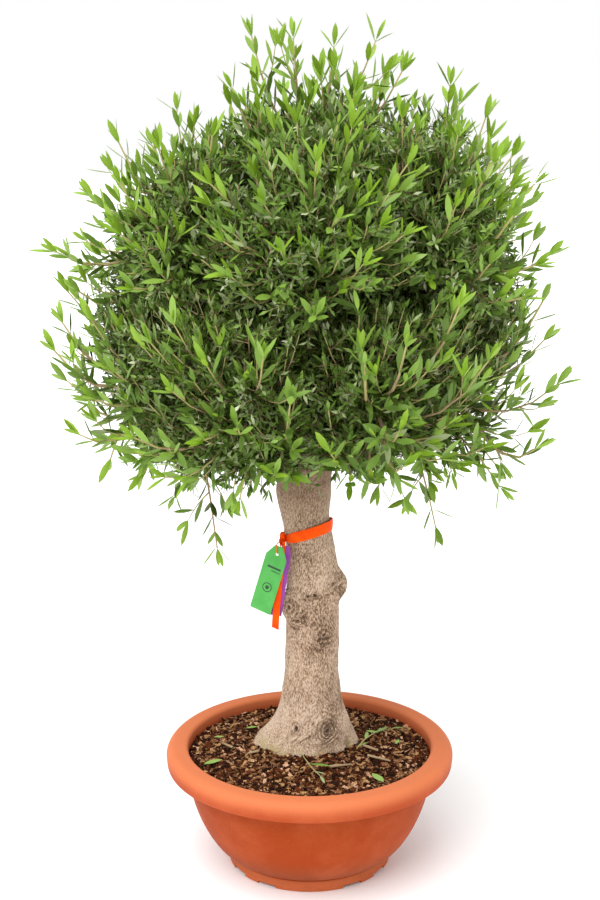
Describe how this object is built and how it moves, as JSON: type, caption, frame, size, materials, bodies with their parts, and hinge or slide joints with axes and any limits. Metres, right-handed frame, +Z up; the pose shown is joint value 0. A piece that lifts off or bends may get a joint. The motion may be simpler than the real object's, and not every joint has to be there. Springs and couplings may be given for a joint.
{
  "type": "potted olive tree",
  "caption": "Olive tree grown as a ball of foliage on a bare trunk, planted in a bowl-shaped terracotta-coloured plastic pot, with a ribbon and plain hanging labels.",
  "frame": {"origin": "centre of the pot's underside, on the pot's axis, at the level it stands on", "axes": "+Z up along the trunk, -Y towards the front, +X to the right seen from the front"},
  "size_m": [1.0418, 0.9561, 1.7366],
  "materials": {
    "pot_plastic": "satin",
    "compost": "matte",
    "bark": "matte",
    "foliage": "satin",
    "ribbon": "satin",
    "green_label": "satin",
    "violet_label": "satin"
  },
  "bodies": {
    "root": {"pot": "pot_plastic", "compost": "compost", "trunk": "bark", "bough_top": "bark", "bough_upper_1": "bark", "bough_upper_2": "bark", "bough_upper_3": "bark", "bough_upper_4": "bark", "bough_upper_5": "bark", "bough_lower_1": "bark", "bough_lower_2": "bark", "bough_lower_3": "bark", "bough_lower_4": "bark", "bough_lower_5": "bark", "bough_lower_6": "bark", "bough_lower_7": "bark", "foliage_top": "foliage", "foliage_upper_1": "foliage", "foliage_upper_2": "foliage", "foliage_upper_3": "foliage", "foliage_upper_4": "foliage", "foliage_upper_5": "foliage", "foliage_lower_1": "foliage", "foliage_lower_2": "foliage", "foliage_lower_3": "foliage", "foliage_lower_4": "foliage", "foliage_lower_5": "foliage", "foliage_lower_6": "foliage", "foliage_lower_7": "foliage", "ribbon_band": "ribbon", "ribbon_knot": "ribbon", "ribbon_tail": "ribbon", "label_tie": "ribbon", "green_label": "green_label", "violet_label": "violet_label"}
  },
  "joints": []
}
